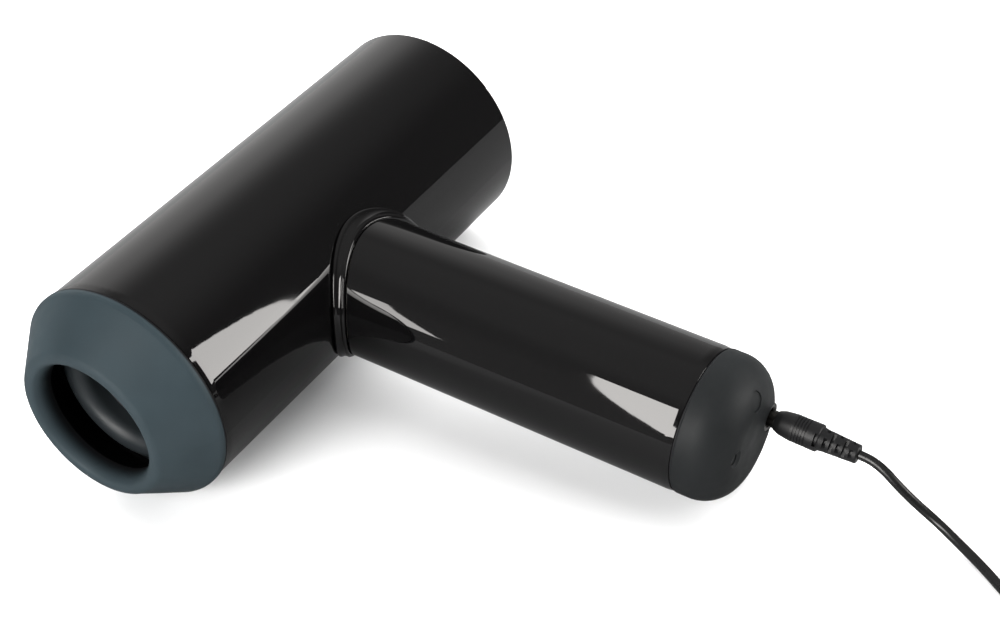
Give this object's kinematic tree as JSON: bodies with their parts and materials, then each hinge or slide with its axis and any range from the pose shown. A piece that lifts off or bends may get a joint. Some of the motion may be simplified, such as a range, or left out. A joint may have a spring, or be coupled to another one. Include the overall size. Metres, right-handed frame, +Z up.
{
  "type": "cordless hair dryer",
  "caption": "T-shaped cordless hair dryer lying on its side: smooth barrel with a soft nozzle cap, round handle, and a charging lead plugged into the handle end.",
  "frame": {"origin": "centre of the bounding box of the dryer without its lead, on the surface that it lies on", "axes": "-Y along the barrel towards the nozzle; +X along the handle towards its end; +Z up from the surface"},
  "size_m": [0.3619, 0.1966, 0.0808],
  "materials": {
    "gloss_black": "polished",
    "slate_soft": "soft-touch matte",
    "charcoal_soft": "soft-touch matte",
    "outlet_ring": "satin",
    "dark_plastic": "fine grain",
    "natural_plastic": "glass-filled nylon",
    "mica": "mica board",
    "heating_wire": "drawn wire",
    "fan_plastic": "satin",
    "motor_steel": "zinc plated",
    "silicon_steel": "laminated",
    "copper": "enamelled copper wire",
    "magnet": "sintered",
    "black_rubber": "matte",
    "filter_cloth": "woven mesh",
    "screw_steel": "blackened",
    "board_green": "solder mask",
    "component_black": "moulded",
    "cell_wrap": "shrink wrap",
    "nickel": "nickel plated",
    "dark_nickel": "black nickel plated",
    "light_guide": "frosted",
    "lead_black": "glossy flexible",
    "plug_black": "moulded",
    "wire_jacket": "silicone jacket"
  },
  "bodies": {
    "housing": {"barrel_shell": "gloss_black", "nozzle_cap": "slate_soft", "outlet_ring": "outlet_ring", "outlet_funnel": "natural_plastic", "outlet_grille": "dark_plastic", "heater_tube": "mica", "heater_frame": "mica", "heater_coils": "heating_wire", "thermal_cutout": "nickel", "fan_shroud": "dark_plastic", "stator_vanes": "fan_plastic", "motor_sleeves": "black_rubber", "motor_can": "motor_steel", "motor_end_bell": "component_black", "motor_stator": "silicon_steel", "stator_windings": "copper", "motor_bearings": "motor_steel", "filter_frame": "dark_plastic", "filter_mesh": "filter_cloth", "rear_cover": "dark_plastic", "cover_screws": "screw_steel", "collar_ring": "gloss_black", "neck_plate": "natural_plastic", "neck_screws": "motor_steel", "handle_tube": "gloss_black", "control_panel": "charcoal_soft", "speed_lights": "light_guide", "control_frame": "natural_plastic", "control_board": "board_green", "button_switches": "component_black", "board_parts": "component_black", "battery_cells": "cell_wrap", "cell_holder_front": "natural_plastic", "cell_holder_rear": "natural_plastic", "cell_tie_rod": "motor_steel", "nickel_tabs": "nickel", "charge_board": "board_green", "end_cap": "charcoal_soft", "cap_seal": "black_rubber", "socket_bezel": "dark_nickel", "dc_socket": "component_black", "key_switch": "component_black", "light_lens": "light_guide", "motor_wires": "wire_jacket", "plug_body": "plug_black", "plug_barrel": "dark_nickel", "lead_tube": "lead_black", "lead_coil": "lead_black", "lead_tail": "lead_black", "coil_tie": "black_rubber", "usb_body": "plug_black", "usb_shell": "nickel", "usb_tongue": "component_black"},
    "rotor": {"rotor_shaft": "motor_steel", "rotor_magnet": "magnet", "impeller": "fan_plastic"},
    "power_key": {"power_key": "charcoal_soft"},
    "speed_button": {"speed_button": "charcoal_soft"},
    "heat_button": {"heat_button": "charcoal_soft"}
  },
  "joints": [
    {"name": "rotor_spin", "type": "hinge", "parent": "housing", "child": "rotor", "pos_m": [-0.07259, 0.0473, 0.0404], "axis": [0, 1, 0], "continuous": true},
    {"name": "power_key_press", "type": "slide", "parent": "housing", "child": "power_key", "axis": [-0.996, 0, 0.0897], "range_m": [0, 0.0008], "stiffness_N_per_m": 600, "springref_m": -0.0008},
    {"name": "speed_button_press", "type": "slide", "parent": "housing", "child": "speed_button", "axis": [0, -1, 0], "range_m": [0, 0.0008], "stiffness_N_per_m": 600, "springref_m": -0.0008},
    {"name": "heat_button_press", "type": "slide", "parent": "housing", "child": "heat_button", "axis": [0, -1, 0], "range_m": [0, 0.0008], "stiffness_N_per_m": 600, "springref_m": -0.0008}
  ]
}
